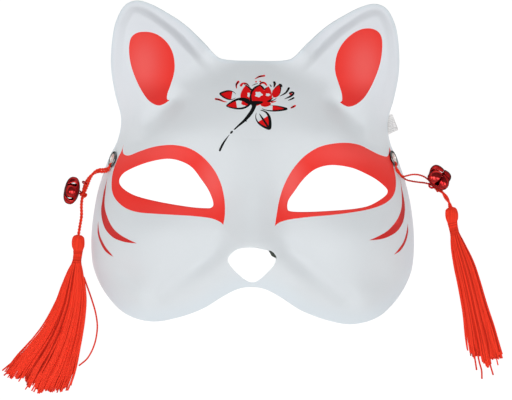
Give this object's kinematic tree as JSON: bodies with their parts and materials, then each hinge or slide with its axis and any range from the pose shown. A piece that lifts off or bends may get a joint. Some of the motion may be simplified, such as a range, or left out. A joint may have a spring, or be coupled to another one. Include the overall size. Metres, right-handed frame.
{
  "type": "fox mask",
  "caption": "Half-face fox mask, thin moulded shell with eye and nose holes, side eyelets, and a red cord, jingle bell and tassel at each temple.",
  "frame": {"origin": "on the table, under the middle of the box round shell and eyelets; the mask lies open side down on its side rims", "axes": "+Z out of the face, +Y towards the ears, +X to the viewer's right when looking at the face"},
  "size_m": [0.2706, 0.2116, 0.0609],
  "materials": {
    "shell": "satin white, painted red and black on the face",
    "eyelet": "nickel plated",
    "thread": "twisted satin thread",
    "bell": "shiny metallic red",
    "elastic": "ribbed woven elastic"
  },
  "bodies": {
    "root": {"mask_shell": "shell", "eyelet_left": "eyelet", "eyelet_right": "eyelet", "cord_left": "thread", "cord_right": "thread", "bell_left": "bell", "bell_right": "bell", "tassel_left": "thread", "tassel_right": "thread", "elastic_strap": "elastic"}
  },
  "joints": []
}
